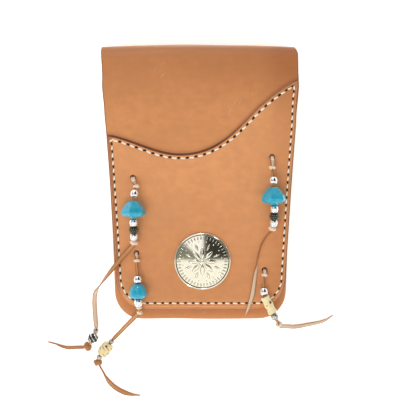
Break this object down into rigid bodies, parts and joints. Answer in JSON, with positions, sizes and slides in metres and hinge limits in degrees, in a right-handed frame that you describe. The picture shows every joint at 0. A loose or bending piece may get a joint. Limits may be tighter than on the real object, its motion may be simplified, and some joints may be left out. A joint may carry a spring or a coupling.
{
  "type": "beaded medicine bag",
  "caption": "Leather belt pouch with a full-length flap, a curved sewn overlay, a domed snap concho and beaded lace tassels.",
  "frame": {"origin": "under the middle of the bag, on the surface it lies on, measured without the laces and their beads", "axes": "+X across the bag to the wearer's right-hand edge as seen from the front, +Y up the bag to the fold, +Z out of its front"},
  "size_m": [0.1977, 0.2397, 0.0573],
  "materials": {
    "saddle_leather": "natural vegetable-tanned, lightly waxed",
    "lace_leather": "soft deerskin lace, pale flesh side",
    "silver": "polished silver",
    "oxidised_silver": "oxidised, highlights rubbed back",
    "turquoise": "polished turquoise",
    "bone": "carved bone, waxed",
    "nickel": "nickel-plated snap parts"
  },
  "bodies": {
    "pouch_body": {"back_panel": "saddle_leather", "gusset": "saddle_leather", "front_panel": "saddle_leather", "belt_loop": "saddle_leather", "snap_stud": "nickel", "stud_rivet": "nickel"},
    "flap_body": {"flap": "saddle_leather", "overlay": "saddle_leather", "concho": "silver", "snap_socket": "nickel", "upper_left_lace": "lace_leather", "upper_left_silver_bead_1": "silver", "upper_left_turquoise_bead": "turquoise", "upper_left_silver_bead_2": "silver", "upper_left_oxidised_bead": "oxidised_silver", "upper_left_silver_bead_3": "silver", "upper_left_small_silver_bead": "silver", "upper_left_patterned_bead": "oxidised_silver", "lower_left_lace": "lace_leather", "lower_left_silver_bead_1": "silver", "lower_left_turquoise_bead": "turquoise", "lower_left_silver_bead_2": "silver", "lower_left_small_silver_bead_1": "silver", "lower_left_bone_bead": "bone", "lower_left_small_silver_bead_2": "silver", "upper_right_lace": "lace_leather", "upper_right_silver_bead_1": "silver", "upper_right_turquoise_bead": "turquoise", "upper_right_silver_bead_2": "silver", "upper_right_oxidised_bead": "oxidised_silver", "upper_right_silver_bead_3": "silver", "lower_right_lace": "lace_leather", "lower_right_silver_bead_1": "silver", "lower_right_bone_bead": "bone", "lower_right_silver_bead_2": "silver"}
  },
  "joints": [
    {"name": "flap_hinge", "type": "hinge", "parent": "pouch_body", "child": "flap_body", "pos_m": [0, 0.08677, 0.01183], "axis": [-1, 0, 0], "range_deg": [0, 140]}
  ]
}
